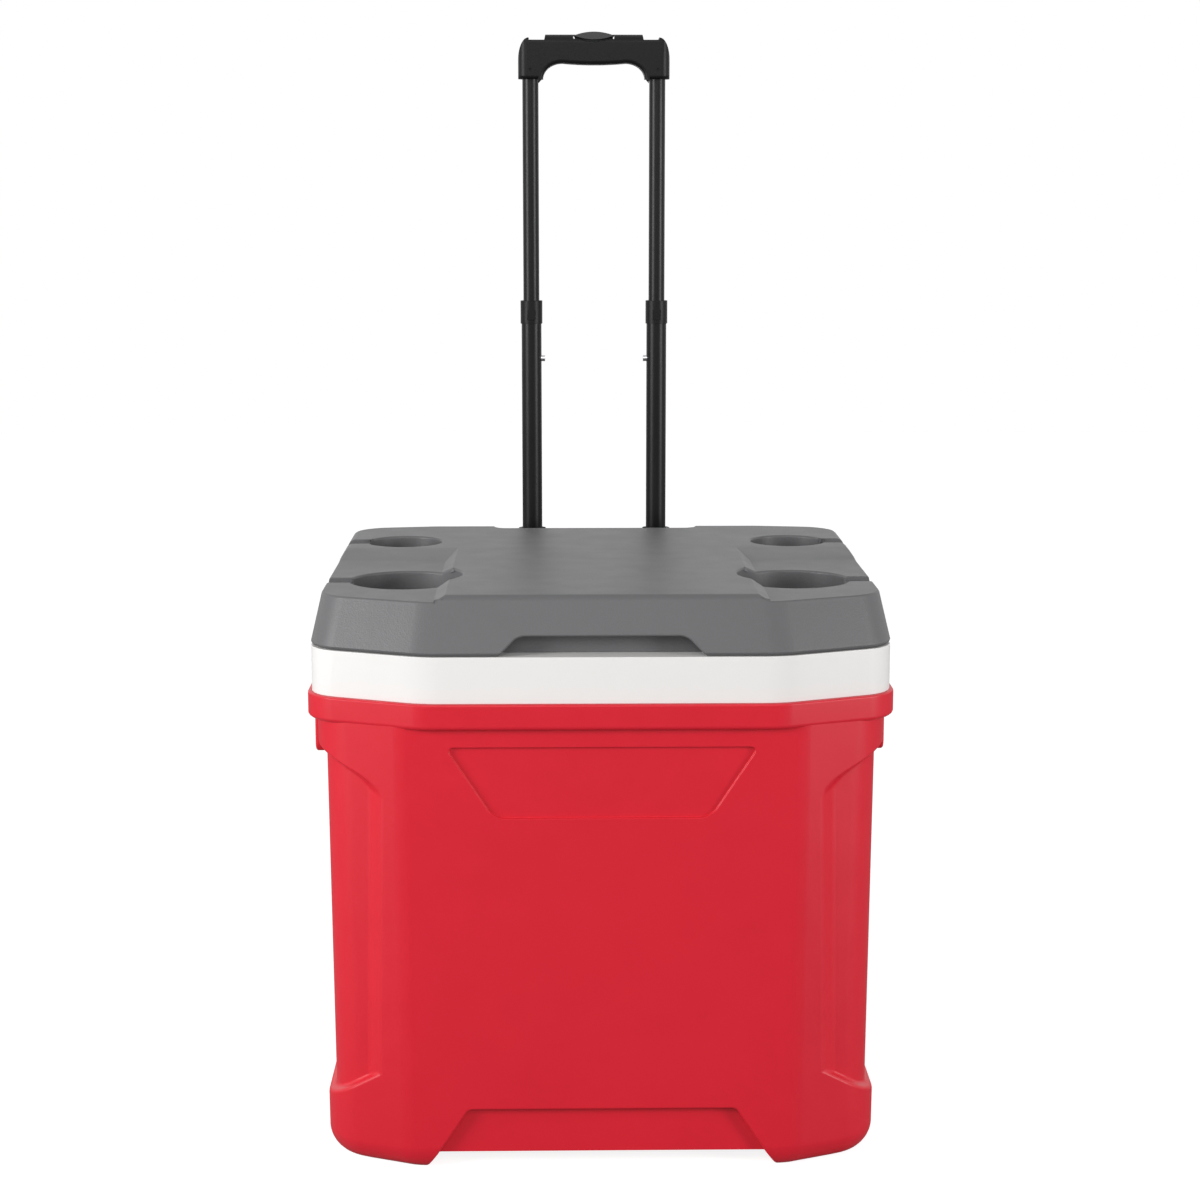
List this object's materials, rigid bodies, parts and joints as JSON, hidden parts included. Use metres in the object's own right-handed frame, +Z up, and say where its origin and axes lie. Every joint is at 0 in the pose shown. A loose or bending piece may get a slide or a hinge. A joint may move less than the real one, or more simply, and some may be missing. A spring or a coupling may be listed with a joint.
{
  "type": "rolling cooler chest",
  "caption": "Insulated rolling cooler chest with a hinged lid with cup wells, rear wheels, side grips and a telescoping tow handle.",
  "frame": {"origin": "middle of the footprint on the floor", "axes": "+X to the right seen from the front, +Y to the back where the tow handle stands, +Z up"},
  "size_m": [0.5, 0.5156, 0.9825],
  "materials": {
    "red_body": "fine moulded texture, satin",
    "white_liner": "satin",
    "grey_lid": "fine moulded texture, satin",
    "foam": "rigid foam",
    "black_plastic": "satin",
    "grey_plastic": "satin",
    "black_tube": "satin black",
    "steel": "bright zinc",
    "tyre": "matt"
  },
  "bodies": {
    "chest": {"body_shell": "red_body", "liner": "white_liner", "foam_core": "foam", "hinge_pin_left": "steel", "hinge_pin_right": "steel", "axle": "steel", "axle_cap_left": "steel", "axle_cap_right": "steel", "handle_housing": "black_plastic", "housing_screws": "steel", "fixed_tube_left": "black_tube", "fixed_tube_right": "black_tube", "fixed_collar_left": "black_plastic", "fixed_collar_right": "black_plastic", "drain_sleeve": "white_liner"},
    "lid": {"lid_shell": "grey_lid", "lid_pan": "white_liner", "lid_foam": "foam"},
    "wheel_left": {"wheel_left": "black_plastic", "tyre_left": "tyre"},
    "wheel_right": {"wheel_right": "black_plastic", "tyre_right": "tyre"},
    "middle_stage": {"middle_tube_left": "black_tube", "middle_tube_right": "black_tube", "middle_collar_left": "black_plastic", "middle_collar_right": "black_plastic", "middle_guide_left": "grey_plastic", "middle_guide_right": "grey_plastic", "lock_pins": "steel"},
    "inner_stage": {"inner_tube_left": "black_tube", "inner_tube_right": "black_tube", "inner_guide_left": "grey_plastic", "inner_guide_right": "grey_plastic", "grip_front": "black_plastic", "grip_back": "black_plastic", "grip_screws": "steel", "button_spring": "steel"},
    "button": {"push_button": "black_plastic", "release_yoke": "black_plastic"},
    "drain_plug": {"drain_plug": "white_liner"}
  },
  "joints": [
    {"name": "lid_hinge", "type": "hinge", "parent": "chest", "child": "lid", "pos_m": [0, 0.18325, 0.4529], "axis": [-1, 0, 0], "range_deg": [0, 78]},
    {"name": "wheel_left_spin", "type": "hinge", "parent": "chest", "child": "wheel_left", "pos_m": [-0.217, 0.15575, 0.0635], "axis": [1, 0, 0], "continuous": true},
    {"name": "wheel_right_spin", "type": "hinge", "parent": "chest", "child": "wheel_right", "pos_m": [0.217, 0.15575, 0.0635], "axis": [1, 0, 0], "continuous": true},
    {"name": "middle_slide", "type": "slide", "parent": "chest", "child": "middle_stage", "axis": [0, 0, -1], "range_m": [0, 0.207]},
    {"name": "inner_slide", "type": "slide", "parent": "middle_stage", "child": "inner_stage", "axis": [0, 0, -1], "range_m": [0, 0.2175]},
    {"name": "button_press", "type": "slide", "parent": "inner_stage", "child": "button", "axis": [0, 0, -1], "range_m": [0, 0.0025], "stiffness_N_per_m": 1200, "springref_m": -0.003, "deforming": ["button_spring"]},
    {"name": "drain_pull", "type": "slide", "parent": "chest", "child": "drain_plug", "axis": [1, 0, 0], "range_m": [0, 0.03]}
  ]
}
